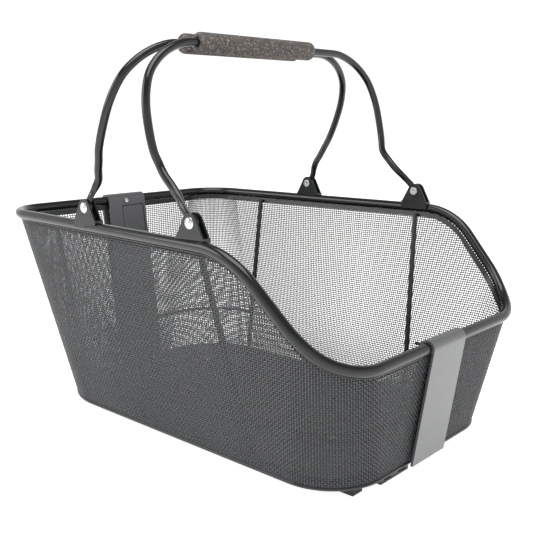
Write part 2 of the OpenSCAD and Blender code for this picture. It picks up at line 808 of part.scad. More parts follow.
rim_bead();
rim_band();
mesh_right();
mesh_left();
base_wire_ring();
floor_panel();
rib_high_right();
rib_high_left();
rib_low_right();
rib_low_left();
brace_high();
brace_low();
strap_high();
strap_low();
strap_cover_plate();
strap_screws();
bracket_high_right();
bracket_high_left();
bracket_low_right();
bracket_low_left();
rivets_high();
rivets_low();
bail_high();
bail_low();
grip_high();
grip_low();
rack_rail_right();
rack_rail_left();
feet();
floor_screws();
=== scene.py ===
"""A bicycle rack basket of woven wire with two folding handles, dressed for a plain studio picture."""

from __future__ import annotations

import logging
import math
from dataclasses import dataclass, field
from enum import Enum

import bmesh
import bpy
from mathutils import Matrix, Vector

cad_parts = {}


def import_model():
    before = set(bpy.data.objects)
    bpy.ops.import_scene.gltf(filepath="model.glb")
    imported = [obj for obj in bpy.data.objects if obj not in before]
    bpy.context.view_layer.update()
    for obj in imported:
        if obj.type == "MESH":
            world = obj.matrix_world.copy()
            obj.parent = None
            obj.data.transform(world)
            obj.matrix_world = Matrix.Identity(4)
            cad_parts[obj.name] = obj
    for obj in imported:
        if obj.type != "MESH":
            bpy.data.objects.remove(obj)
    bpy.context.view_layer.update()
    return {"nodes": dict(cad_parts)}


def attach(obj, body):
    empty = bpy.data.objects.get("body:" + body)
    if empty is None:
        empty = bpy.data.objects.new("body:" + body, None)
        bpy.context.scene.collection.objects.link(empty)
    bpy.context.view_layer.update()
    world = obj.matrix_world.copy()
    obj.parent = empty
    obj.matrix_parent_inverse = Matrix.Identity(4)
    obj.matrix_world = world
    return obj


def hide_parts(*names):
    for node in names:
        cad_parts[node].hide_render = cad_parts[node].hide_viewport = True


log = logging.getLogger("basket")

MM = 0.001
# The range in which a noise texture's values mostly lie, and that of two noises multiplied.
NOISE_RANGE = (0.3, 0.7)
NOISE_PRODUCT_RANGE = (0.18, 0.42)


class Side(Enum):
    """A side of the basket, seen from its high end: the value is the sign of y."""

    RIGHT = -1
    LEFT = 1


class End(Enum):
    """An end of the basket: the value is the sign of x."""

    HIGH = -1
    LOW = 1


class Part(Enum):
    """The bodies that move against each other, by the names that the frame gives them."""

    BASKET = "basket"
    HIGH_BAIL = "high_bail"
    LOW_BAIL = "low_bail"


# Colours and nodes


def linear(colour: str) -> tuple[float, float, float, float]:
    """Turns an sRGB hex colour to linear light.

    Args:
        colour: Six hex digits after a hash.

    Returns:
        Red, green, blue and an alpha of 1.
    """
    shares = [int(colour[i : i + 2], 16) / 255 for i in (1, 3, 5)]
    red, green, blue = [s / 12.92 if s <= 0.04045 else ((s + 0.055) / 1.055) ** 2.4 for s in shares]
    return red, green, blue, 1.0


def add_node(
    tree: bpy.types.NodeTree,
    kind: str,
    options: dict[str, object] | None = None,
    values: dict[str | int, object] | None = None,
    links: dict[str | int, bpy.types.NodeSocket] | None = None,
) -> bpy.types.Node:
    """Adds a node with its settings and links.

    Args:
        tree: The node tree that it joins.
        kind: Blender's name for the kind of node.
        options: The node's own settings.
        values: What its unlinked inputs hold.
        links: The output that feeds each linked input.

    Returns:
        The new node.
    """
    node = tree.nodes.new(kind)
    for option, value in (options or {}).items():
        setattr(node, option, value)
    for socket, value in (values or {}).items():
        node.inputs[socket].default_value = value
    for socket, source in (links or {}).items():
        tree.links.new(source, node.inputs[socket])
    return node


def per_metre(size_mm: float) -> float:
    """The texture scale at which one cell of a pattern is as large as a size in millimetres."""
    return 1 / (size_mm * MM)


@dataclass(frozen=True)
class Coating:
    """A coating on steel, plastic or rubber: one colour with tone, gloss and relief that vary.

    The tone drifts over a hand's breadth, the gloss is broken by handling marks, and the relief is
    the coating's own grain.
    """

    name: str
    colour: str
    rubbed: str
    roughness: float
    roughness_spread: float
    grain: float
    grain_depth: float
    drift: float = 60.0
    rubbed_share: float = 0.12
    metallic: float = 0.0
    ior: float = 1.5
    coat: float = 0.0
    coat_roughness: float = 0.1
    glow: float = 0.0

    def make(self) -> bpy.types.Material:
        """Builds the coating's material.

        Returns:
            The material.
        """
        material = bpy.data.materials.new(self.name)
        material.use_nodes = True
        tree = material.node_tree
        tree.nodes.clear()
        place = add_node(tree, "ShaderNodeTexCoord").outputs["Object"]
        drift = add_node(
            tree,
            "ShaderNodeTexNoise",
            values={"Scale": per_metre(self.drift), "Detail": 4.0, "Roughness": 0.6},
            links={"Vector": place},
        )
        marks = add_node(
            tree,
            "ShaderNodeTexNoise",
            values={"Scale": per_metre(self.drift / 9), "Detail": 8.0, "Roughness": 0.7, "Distortion": 0.6},
            links={"Vector": place},
        )
        grain = add_node(
            tree,
            "ShaderNodeTexNoise",
            values={"Scale": per_metre(self.grain), "Detail": 2.0, "Roughness": 0.5},
            links={"Vector": place},
        )
        both = add_node(
            tree,
            "ShaderNodeMath",
            {"operation": "MULTIPLY"},
            links={0: drift.outputs["Fac"], 1: marks.outputs["Fac"]},
        )
        rubbed = add_node(
            tree,
            "ShaderNodeMapRange",
            values={
                "From Min": NOISE_PRODUCT_RANGE[0],
                "From Max": NOISE_PRODUCT_RANGE[1],
                "To Min": 0.0,
                "To Max": self.rubbed_share,
            },
            links={"Value": both.outputs[0]},
        )
        tone = add_node(
            tree,
            "ShaderNodeMix",
            {"data_type": "RGBA"},
            values={6: linear(self.colour), 7: linear(self.rubbed)},
            links={0: rubbed.outputs[0]},
        )
        gloss = add_node(
            tree,
            "ShaderNodeMapRange",
            values={
                "From Min": NOISE_RANGE[0],
                "From Max": NOISE_RANGE[1],
                "To Min": self.roughness - self.roughness_spread,
                "To Max": self.roughness + self.roughness_spread,
            },
            links={"Value": marks.outputs["Fac"]},
        )
        relief = add_node(
            tree,
            "ShaderNodeBump",
            values={"Strength": 1.0, "Distance": self.grain_depth * MM},
            links={"Height": grain.outputs["Fac"]},
        )
        shader = add_node(
            tree,
            "ShaderNodeBsdfPrincipled",
            values={
                "Metallic": self.metallic,
                "IOR": self.ior,
                "Coat Weight": self.coat,
                "Coat Roughness": self.coat_roughness,
                "Emission Strength": self.glow,
            },
            links={
                "Base Color": tone.outputs[2],
                "Roughness": gloss.outputs[0],
                "Normal": relief.outputs[0],
            },
        )
        add_node(tree, "ShaderNodeOutputMaterial", links={"Surface": shader.outputs[0]})
        return material


@dataclass(frozen=True)
class CorkRubber:
    """Ground cork bound in rubber: a dark brown-grey mass full of dark, tan and rust crumbs."""

    name: str = "cork_and_rubber_grip"
    mass: str = "#514d4b"
    dark_crumb: str = "#34312f"
    tan_crumb: str = "#93887c"
    rust_crumb: str = "#8f6a55"
    crumb: float = 1.5
    fine_crumb: float = 0.9

    def make(self) -> bpy.types.Material:
        """Builds the grip's material.

        Returns:
            The material.
        """
        material = bpy.data.materials.new(self.name)
        material.use_nodes = True
        tree = material.node_tree
        tree.nodes.clear()
        place = add_node(tree, "ShaderNodeTexCoord").outputs["Object"]
        crumbs = add_node(
            tree,
            "ShaderNodeTexVoronoi",
            {"feature": "F1"},
            values={"Scale": per_metre(self.crumb), "Randomness": 1.0},
            links={"Vector": place},
        )
        fine = add_node(
            tree,
            "ShaderNodeTexVoronoi",
            {"feature": "F1"},
            values={"Scale": per_metre(self.fine_crumb), "Randomness": 1.0},
            links={"Vector": place},
        )
        kind = add_node(tree, "ShaderNodeSeparateColor", links={"Color": crumbs.outputs["Color"]})
        fine_kind = add_node(tree, "ShaderNodeSeparateColor", links={"Color": fine.outputs["Color"]})
        ramp = add_node(tree, "ShaderNodeValToRGB", links={"Fac": kind.outputs[0]})
        steps = [
            (0.0, self.dark_crumb),
            (0.25, self.mass),
            (0.78, self.tan_crumb),
            (0.86, self.mass),
            (0.95, self.rust_crumb),
        ]
        self._fill(ramp, steps)
        fine_ramp = add_node(tree, "ShaderNodeValToRGB", links={"Fac": fine_kind.outputs[1]})
        self._fill(fine_ramp, [(0.0, self.mass), (0.6, self.dark_crumb), (0.92, self.tan_crumb)])
        colour = add_node(
            tree,
            "ShaderNodeMix",
            {"data_type": "RGBA"},
            values={0: 0.45},
            links={6: ramp.outputs[0], 7: fine_ramp.outputs[0]},
        )
        gloss = add_node(
            tree,
            "ShaderNodeMapRange",
            values={"To Min": 0.55, "To Max": 0.8},
            links={"Value": kind.outputs[1]},
        )
        relief = add_node(
            tree,
            "ShaderNodeBump",
            values={"Strength": 0.6, "Distance": 0.25 * MM},
            links={"Height": fine.outputs["Distance"]},
        )
        shader = add_node(
            tree,
            "ShaderNodeBsdfPrincipled",
            values={"IOR": 1.5},
            links={
                "Base Color": colour.outputs[2],
                "Roughness": gloss.outputs[0],
                "Normal": relief.outputs[0],
            },
        )
        add_node(tree, "ShaderNodeOutputMaterial", links={"Surface": shader.outputs[0]})
        return material

    def _fill(self, ramp: bpy.types.Node, steps: list[tuple[float, str]]) -> None:
        """Gives a colour ramp hard steps, one for each kind of crumb.

        Args:
            ramp: The ramp's node.
            steps: The place and colour of each step.
        """
        ramp.color_ramp.interpolation = "CONSTANT"
        for number, (place, colour) in enumerate(steps):
            stop = ramp.color_ramp.elements[0] if number == 0 else ramp.color_ramp.elements.new(place)
            stop.position = place
            stop.color = linear(colour)
        ramp.color_ramp.elements.remove(ramp.color_ramp.elements[-1])


@dataclass
class Finishes:
    """Every finish on the basket, made once and shared by the pieces."""

    rim: bpy.types.Material = field(init=False)
    frame: bpy.types.Material = field(init=False)
    wire: bpy.types.Material = field(init=False)
    floor: bpy.types.Material = field(init=False)
    strap: bpy.types.Material = field(init=False)
    bright: bpy.types.Material = field(init=False)
    bracket: bpy.types.Material = field(init=False)
    bail: bpy.types.Material = field(init=False)
    grip: bpy.types.Material = field(init=False)
    rail: bpy.types.Material = field(init=False)
    foot: bpy.types.Material = field(init=False)

    def __post_init__(self) -> None:
        """Makes the materials."""
        # Powder coat, gloss black: sprayed and baked, so it has a faint orange peel.
        self.rim = Coating("powder_coat_gloss_black", "#131415", "#26272a", 0.19, 0.05, 1.6, 0.008).make()
        # The same coat, thinner over the band, ribs and wires, with a satin gloss.
        self.frame = Coating("powder_coat_satin_black", "#18191b", "#2f3032", 0.3, 0.06, 1.2, 0.01).make()
        # Drawn wire, woven and then dip-coated: the coat pools at the crossings and shines on the crowns.
        self.wire = Coating("coated_woven_wire", "#4a4b4d", "#707173", 0.29, 0.08, 0.9, 0.01).make()
        # Moulded polypropylene sheet with a fine sparked texture.
        self.floor = Coating("moulded_polypropylene", "#26272a", "#3a3b3d", 0.5, 0.07, 0.7, 0.03).make()
        # Enamelled folded sheet: graphite grey, smooth, with a broad soft sheen.
        self.strap = Coating(
            "graphite_enamel_sheet",
            "#4a4b4d",
            "#5c5d5f",
            0.34,
            0.05,
            2.5,
            0.005,
            coat=0.7,
            coat_roughness=0.3,
        ).make()
        # Zinc-plated steel: bright and a little cloudy.
        self.bright = Coating(
            "zinc_plated_steel", "#d4d5d6", "#a9abad", 0.24, 0.08, 1.0, 0.006, drift=12.0, metallic=1.0
        ).make()
        # Pressed steel ears under a glossy dipped coat.
        self.bracket = Coating("dipped_gloss_black", "#161719", "#2c2d2f", 0.24, 0.06, 1.8, 0.012).make()
        # The bent rod's enamel: hard and glossy, worn a little duller where hands meet it.
        self.bail = Coating("enamelled_rod_black", "#111213", "#222325", 0.16, 0.04, 2.0, 0.005).make()
        self.grip = CorkRubber().make()
        # Glass-filled nylon rails: dull black with a grain that shows at their edges.
        self.rail = Coating("moulded_nylon_black", "#222326", "#3a3b3e", 0.46, 0.08, 0.8, 0.03).make()
        # Rubber feet: matt and slightly bloomed.
        self.foot = Coating("black_rubber", "#1e1e1f", "#333334", 0.7, 0.08, 0.9, 0.04).make()


# Shapes


def link(mesh: bpy.types.Mesh, name: str) -> bpy.types.Object:
    """Puts a mesh into the scene as an object of its own."""
    made = bpy.data.objects.new(name, mesh)
    bpy.context.scene.collection.objects.link(made)
    return made


def wires(
    name: str,
    paths: list[list[Vector]],
    radius: float,
    sides: int,
    closed: bool = False,
    shares: list[float] | None = None,
) -> bpy.types.Object:
    """Makes round wires along paths, as one mesh.

    Args:
        name: The object's name.
        paths: The points of each wire's centre line, in millimetres.
        radius: The wire's radius in millimetres.
        sides: How many sides the wire's section has, an even number from 4 up.
        closed: Whether each wire is a ring.
        shares: What each wire's radius is multiplied by.

    Returns:
        The object, at the origin.
    """
    curve = bpy.data.curves.new(name, "CURVE")
    curve.dimensions = "3D"
    curve.bevel_depth = radius * MM
    curve.bevel_resolution = (sides - 4) // 2
    curve.use_fill_caps = not closed
    for number, path in enumerate(paths):
        spline = curve.splines.new("POLY")
        spline.points.add(len(path) - 1)
        flat = [c for p in path for c in (p.x * MM, p.y * MM, p.z * MM, 1.0)]
        spline.points.foreach_set("co", flat)
        spline.points.foreach_set("radius", [shares[number] if shares else 1.0] * len(path))
        spline.use_cyclic_u = closed
        spline.use_smooth = True
    drawn = bpy.data.objects.new(name + "_line", curve)
    bpy.context.scene.collection.objects.link(drawn)
    mesh = bpy.data.meshes.new_from_object(drawn.evaluated_get(bpy.context.evaluated_depsgraph_get()))
    bpy.data.objects.remove(drawn)
    bpy.data.curves.remove(curve)
    mesh.name = name
    mesh.materials.clear()
    mesh.shade_smooth()
    return link(mesh, name)


def smooth_line(points: list[Vector], steps: int) -> list[Vector]:
    """A curve through points.

    Args:
        points: The points that it passes.
        steps: How many steps it takes from each point to the next.

    Returns:
        The curve's points.
    """
    line = []
    for i in range(len(points) - 1):
        a = points[max(i - 1, 0)]
        b = points[i]
        c = points[i + 1]
        d = points[min(i + 2, len(points) - 1)]
        for k in range(steps):
            t = k / steps
            cubic = 2 * b + (c - a) * t + (2 * a - 5 * b + 4 * c - d) * t**2
            line.append((cubic + (3 * b - a - 3 * c + d) * t**3) / 2)
    return line + [points[-1]]


def from_bmesh(shape: bmesh.types.BMesh, name: str) -> bpy.types.Object:
    """Turns a finished bmesh in millimetres into a smooth-shaded object in metres.

    Args:
        shape: The bmesh, which is freed.
        name: The object's name.

    Returns:
        The object, at the origin.
    """
    bmesh.ops.scale(shape, vec=(MM, MM, MM), verts=shape.verts)
    bmesh.ops.recalc_face_normals(shape, faces=shape.faces)
    mesh = bpy.data.meshes.new(name)
    shape.to_mesh(mesh)
    shape.free()
    mesh.shade_smooth()
    return link(mesh, name)


def turned(profile: list[tuple[float, float]], centre: Vector, steps: int) -> bmesh.types.BMesh:
    """Turns a closed profile about an axis along y.

    Args:
        profile: The profile's corners: distance from the axis, and place along it.
        centre: The point on the axis from which places are measured.
        steps: How many facets go round.

    Returns:
        The turned solid as a bmesh in millimetres.
    """
    shape = bmesh.new()
    corners = [shape.verts.new(centre + Vector((r, y, 0.0))) for r, y in profile]
    edges = [shape.edges.new((corners[i - 1], corners[i])) for i in range(len(corners))]
    bmesh.ops.spin(
        shape,
        geom=corners + edges,
        cent=centre,
        axis=(0.0, 1.0, 0.0),
        angle=math.tau,
        steps=steps,
        use_merge=True,
    )
    bmesh.ops.remove_doubles(shape, verts=shape.verts, dist=1e-4)
    return shape


@dataclass
class Softened:
    """A copy of a frame piece with its edges rounded, as pressed, moulded or drawn stock really is."""

    edge: float = 0.4
    segments: int = 2
    crease: float = 28.0

    def copy(self, node: bpy.types.Object, name: str) -> bpy.types.Object:
        """Copies a piece and rounds its edges.

        Args:
            node: The frame's own object, which isn't changed.
            name: The copy's name.

        Returns:
            The copy, at the origin.
        """
        shape = bmesh.new()
        shape.from_mesh(node.data)
        bmesh.ops.remove_doubles(shape, verts=shape.verts, dist=1e-6)
        bmesh.ops.dissolve_limit(shape, angle_limit=math.radians(0.8), verts=shape.verts, edges=shape.edges)
        crease = math.radians(self.crease)
        sharp = [e for e in shape.edges if len(e.link_faces) == 2 and e.calc_face_angle() > crease]
        bmesh.ops.bevel(
            shape,
            geom=sharp,
            offset=self.edge * MM,
            offset_type="OFFSET",
            segments=self.segments,
            profile=0.5,
            affect="EDGES",
            clamp_overlap=True,
            material=-1,
        )
        mesh = bpy.data.meshes.new(name)
        shape.to_mesh(mesh)
        shape.free()
        mesh.shade_smooth()
        made = link(mesh, name)
        flats = made.modifiers.new("flat_faces", "WEIGHTED_NORMAL")
        flats.keep_sharp = True
        return made


# The basket's own shape


@dataclass(frozen=True)
class Outline:
    """Half of a round-cornered outline, from the middle of the high end round the right side."""

    x_high: float
    x_low: float
    half_width: float
    radius_high: float
    radius_low: float
    flare: float = 0.0

    def at(self, place: float) -> Vector:
        """A point of the outline.

        Args:
            place: 0 to 1 along the high end, to 2 round its corner, to 3 along the side, to 4 round
                the low corner and to 5 along the low end.

        Returns:
            The point, flat.
        """
        part = min(int(place), 4)
        share = place - part
        wide = self.half_width
        if part == 0:
            x, y = self.x_high, -(wide - self.radius_high) * share
        elif part == 1:
            angle = math.pi + share * math.pi / 2
            x = self.x_high + self.radius_high * (1 + math.cos(angle))
            y = self.radius_high * (1 + math.sin(angle)) - wide
        elif part == 2:
            start = self.x_high + self.radius_high
            x, y = start + (self.x_low - self.radius_low - start) * share, -wide
        elif part == 3:
            angle = 1.5 * math.pi + share * math.pi / 2
            x = self.x_low - self.radius_low + self.radius_low * math.cos(angle)
            y = self.radius_low * (1 + math.sin(angle)) - wide
        else:
            x, y = self.x_low, -(wide - self.radius_low) * (1 - share)
        return Vector((x, y * (1 + self.flare * x), 0.0))


@dataclass(frozen=True)
class Wall:
    """The wall: straight lines that join the bottom edge to the rim, in millimetres."""

    base: Outline = Outline(-190.0, 186.0, 118.0, 72.0, 51.0)
    top: Outline = Outline(-215.0, 215.0, 155.0, 40.0, 46.0, 12.0 / 155.0 / 215.0)
    base_height: float = 7.0
    high_rim: float = 186.0
    low_rim: float = 97.0
    dip_x: float = 84.0
    dip_angle: float = math.radians(46.5)
    dip_top: float = 70.0
    dip_foot: float = 75.0

    def rim_rise(self, x: float) -> float:
        """Height of the rim above the bottom edge at a distance along the basket."""
        slope = math.tan(self.dip_angle)
        drop = self.high_rim - self.low_rim
        turned_down = (self.dip_top + self.dip_foot) * (1 - math.cos(self.dip_angle))
        bend = self.dip_top * math.sin(self.dip_angle)
        straight = bend + (drop - turned_down) / slope
        foot = straight + self.dip_foot * math.sin(self.dip_angle)
        along = x - self.dip_x
        if along <= 0:
            return self.high_rim
        if along < bend:
            return self.high_rim - self.dip_top + math.sqrt(self.dip_top**2 - along**2)
        if along < straight:
            fallen = self.dip_top * (1 - math.cos(self.dip_angle))
            return self.high_rim - fallen - (along - bend) * slope
        if along < foot:
            return self.low_rim + self.dip_foot - math.sqrt(self.dip_foot**2 - (foot - along) ** 2)
        return self.low_rim

    def at(self, place: float, share: float) -> Vector:
        """A point of the right wall.

        Args:
            place: Where the point lies round the outline, as Outline.at says.
            share: 0 at the bottom edge, 1 at the high rim's height.

        Returns:
            The point.
        """
        point = self.base.at(place).lerp(self.top.at(place), share)
        point.z = self.base_height + share * self.high_rim
        return point

    def rim_share(self, place: float) -> float:
        """The share of the wall's height at which the rim's centre lies."""
        share = 1.0
        for _ in range(12):
            share = self.rim_rise(self.at(place, share).x) / self.high_rim
        return share

    def rise(self, place: float) -> Vector:
        """The direction of the wall's straight line at a place."""
        return (self.at(place, 1.0) - self.at(place, 0.0)).normalized()

    def outward(self, place: float, share: float) -> Vector:
        """The direction straight out of the wall."""
        step = 0.02
        before = self.at(max(place - step, 0.0), share)
        after = self.at(min(place + step, 5.0), share)
        return (after - before).cross(self.rise(place)).normalized()

    def rim(self, place: float, out: float = 0.0, up: float = 0.0) -> Vector:
        """A point near the rim's centre line.

        Args:
            place: Where round the outline.
            out: How far out of the wall.
            up: How far along the wall's straight line, upwards.

        Returns:
            The point.
        """
        share = self.rim_share(place)
        return self.at(place, share) + self.outward(place, share) * out + self.rise(place) * up


def mirrored(path: list[Vector]) -> list[Vector]:
    """The same path on the other side of the basket."""
    return [Vector((p.x, -p.y, p.z)) for p in path]


def ring(half: list[Vector]) -> list[Vector]:
    """Joins a right half, from end to end, to its mirror image, without doubling the end points."""
    return half + mirrored(half)[-2:0:-1]


def ring_places(per_part: tuple[int, ...] = (6, 24, 110, 24, 6)) -> list[float]:
    """Places along a half outline, closer together where it bends.

    Args:
        per_part: How many steps each part of the outline gets.

    Returns:
        The places, from 0 to 5.
    """
    places = [part + k / count for part, count in enumerate(per_part) for k in range(count)]
    return places + [5.0]


@dataclass
class Dresser:
    """Gives each piece its finish and its body, and hides the frame pieces that it stands for."""

    nodes: dict[str, bpy.types.Object]

    def dress(
        self,
        piece: bpy.types.Object,
        finish: bpy.types.Material,
        slot: str,
        body: Part,
        *replaced: str,
    ) -> bpy.types.Object:
        """Dresses a new piece.

        Args:
            piece: The piece.
            finish: Its material.
            slot: A name for its finish; not used.
            body: What it moves with.
            replaced: The frame pieces that it stands for.

        Returns:
            The piece.
        """
        piece.data.materials.clear()
        piece.data.materials.append(finish)
        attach(piece, body.value)
        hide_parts(*replaced)
        faces = len(piece.data.polygons)
        log.info("%s: %d faces, %s, rides on %s", piece.name, faces, finish.name, body.value)
        return piece

    def soften(
        self,
        node: str,
        finish: bpy.types.Material,
        slot: str,
        softened: Softened,
        body: Part = Part.BASKET,
    ) -> bpy.types.Object:
        """Replaces a frame piece by a copy of itself with rounded edges.

        Args:
            node: The frame piece's name.
            finish: Its material.
            slot: A name for its finish.
            softened: How its edges are rounded.
            body: What it moves with.

        Returns:
            The copy.
        """
        piece = softened.copy(self.nodes[node], node + "_soft")
        return self.dress(piece, finish, slot, body, node)


@dataclass
class WovenMesh:
    """Plain-weave wire cloth: uprights and rows that pass over and under each other."""

    wall: Wall
    # A little coarser than the real cloth, whose pitch is about 2.05 mm, so that the weave shows.
    pitch: float = 2.2
    wire: float = 0.92
    crown: float = 0.46
    hidden_top: float = 4.0
    foot: float = 1.7

    def build(self, dresser: Dresser, finishes: Finishes) -> None:
        """Weaves both halves of the wall.

        Args:
            dresser: What gives the pieces their finish and body.
            finishes: The finishes.
        """
        places = self._upright_places()
        shares = self._row_shares()
        tops = [self.wall.rim_share(p) - self.hidden_top / self.wall.high_rim for p in places]
        grid = [[self.wall.at(p, s) for s in shares] for p in places]
        outs = [[self.wall.outward(p, s) for s in shares] for p in places]
        uprights = [self._upright(i, places[i], tops[i], shares, grid, outs) for i in range(len(places))]
        rows = [self._row(k, tops, shares, grid, outs) for k in range(len(shares))]
        rows = [row for row in rows if len(row) > 1]
        for side in Side:
            for kind, paths in (("uprights", uprights), ("rows", rows)):
                shown = paths if side is Side.RIGHT else [mirrored(p) for p in paths]
                name = f"weave_{kind}_{side.name.lower()}"
                piece = wires(name, shown, self.wire / 2, 4)
                dresser.dress(
                    piece, finishes.wire, "wire_mesh", Part.BASKET, f"mesh_{side.name.lower()}"
                )

    def _upright_places(self) -> list[float]:
        """Places of the uprights, a pitch apart at half of the wall's height."""
        fine = ring_places((60, 160, 500, 160, 60))
        points = [self.wall.at(p, 0.45) for p in fine]
        lengths = [0.0]
        for before, after in zip(points, points[1:]):
            lengths.append(lengths[-1] + (after - before).length)
        count = round(lengths[-1] / self.pitch)
        places = []
        k = 0
        for i in range(count):
            wanted = (i + 0.5) * lengths[-1] / count
            while lengths[k + 1] < wanted:
                k += 1
            share = (wanted - lengths[k]) / (lengths[k + 1] - lengths[k])
            places.append(fine[k] * (1 - share) + fine[k + 1] * share)
        return places

    def _row_shares(self) -> list[float]:
        """Shares of the wall's height at which the rows lie, a pitch apart along the wall."""
        slant = (self.wall.at(2.5, 1.0) - self.wall.at(2.5, 0.0)).length
        first = self.foot / slant
        count = int((slant - self.foot) / self.pitch) + 1
        return [first + i * self.pitch / slant for i in range(count)]

    def _upright(
        self,
        i: int,
        place: float,
        top: float,
        shares: list[float],
        grid: list[list[Vector]],
        outs: list[list[Vector]],
    ) -> list[Vector]:
        """One upright, from the bottom wire into the rim."""
        path = []
        for k, share in enumerate(shares):
            if share >= top:
                break
            path.append(grid[i][k] + outs[i][k] * (self.crown if (i + k) % 2 else -self.crown))
        path.append(self.wall.at(place, top))
        return path

    def _row(
        self,
        k: int,
        tops: list[float],
        shares: list[float],
        grid: list[list[Vector]],
        outs: list[list[Vector]],
    ) -> list[Vector]:
        """One row, from the seam at the high end to the other seam or into the dip of the rim."""
        path = []
        for i in range(len(grid)):
            path.append(grid[i][k] + outs[i][k] * (-self.crown if (i + k) % 2 else self.crown))
            if shares[k] >= tops[i]:
                return path if i else []
        return path


@dataclass
class Rim:
    """The rolled bead, the flat band behind it and the wire round the bottom edge."""

    wall: Wall
    bead_radius: float = 4.6
    lip_radius: float = 0.6
    lip_out: float = 1.6
    lip_up: float = -4.75
    bottom_radius: float = 1.7

    def build(self, dresser: Dresser, finishes: Finishes) -> None:
        """Makes the rim and the bottom wire.

        Args:
            dresser: What gives the pieces their finish and body.
            finishes: The finishes.
        """
        places = ring_places()
        bead = ring([self.wall.rim(p) for p in places])
        lip = ring([self.wall.rim(p, self.lip_out, self.lip_up) for p in places])
        piece = wires(
            "rolled_bead",
            [bead, lip],
            self.bead_radius,
            24,
            closed=True,
            shares=[1.0, self.lip_radius / self.bead_radius],
        )
        dresser.dress(piece, finishes.rim, "rim_paint", Part.BASKET, "rim_bead")
        dresser.soften("rim_band", finishes.frame, "frame_paint", Softened(0.3, 1, 50.0))
        share = self.bottom_radius / self.wall.high_rim
        bottom = ring([self.wall.at(p, share) for p in ring_places((6, 24, 40, 24, 6))])
        piece = wires("bottom_wire", [bottom], self.bottom_radius, 16, closed=True)
        dresser.dress(piece, finishes.frame, "frame_paint", Part.BASKET, "base_wire_ring")


@dataclass
class Bracing:
    """The upright ribs and the wires that run round each end from rib to rib."""

    wall: Wall
    wire: float = 3.6
    inset: float = 2.7
    high_rise: float = 46.0
    low_rise: float = 51.0
    high_x: float = -129.7
    low_x: float = 93.5

    def build(self, dresser: Dresser, finishes: Finishes) -> None:
        """Makes the ribs and braces.

        Args:
            dresser: What gives the pieces their finish and body.
            finishes: The finishes.
        """
        for end in End:
            for side in Side:
                node = f"rib_{end.name.lower()}_{side.name.lower()}"
                dresser.soften(node, finishes.frame, "frame_paint", Softened(0.5, 2, 40.0))
        for end, rise, x in ((End.HIGH, self.high_rise, self.high_x), (End.LOW, self.low_rise, self.low_x)):
            node = f"brace_{end.name.lower()}"
            piece = wires(node + "_wire", [self._path(end, rise, x)], self.wire / 2, 16)
            dresser.dress(piece, finishes.frame, "frame_paint", Part.BASKET, node)

    def _path(self, end: End, rise: float, end_x: float) -> list[Vector]:
        """The centre line of one brace.

        Args:
            end: The end that it runs round.
            rise: Its height above the bottom edge.
            end_x: Where its ends lie along the basket.

        Returns:
            The points, from the right side round the end to the left side.
        """
        share = rise / self.wall.high_rim
        half = []
        for place in ring_places((8, 24, 60, 24, 8)):
            point = self.wall.at(place, share)
            if end.value * (point.x - end_x) < 0:
                continue
            out = self.wall.outward(place, share)
            out.z = 0.0
            half.append(point - out.normalized() * self.inset)
        if end is End.HIGH:
            half.reverse()
        return half + mirrored(half)[-2::-1]


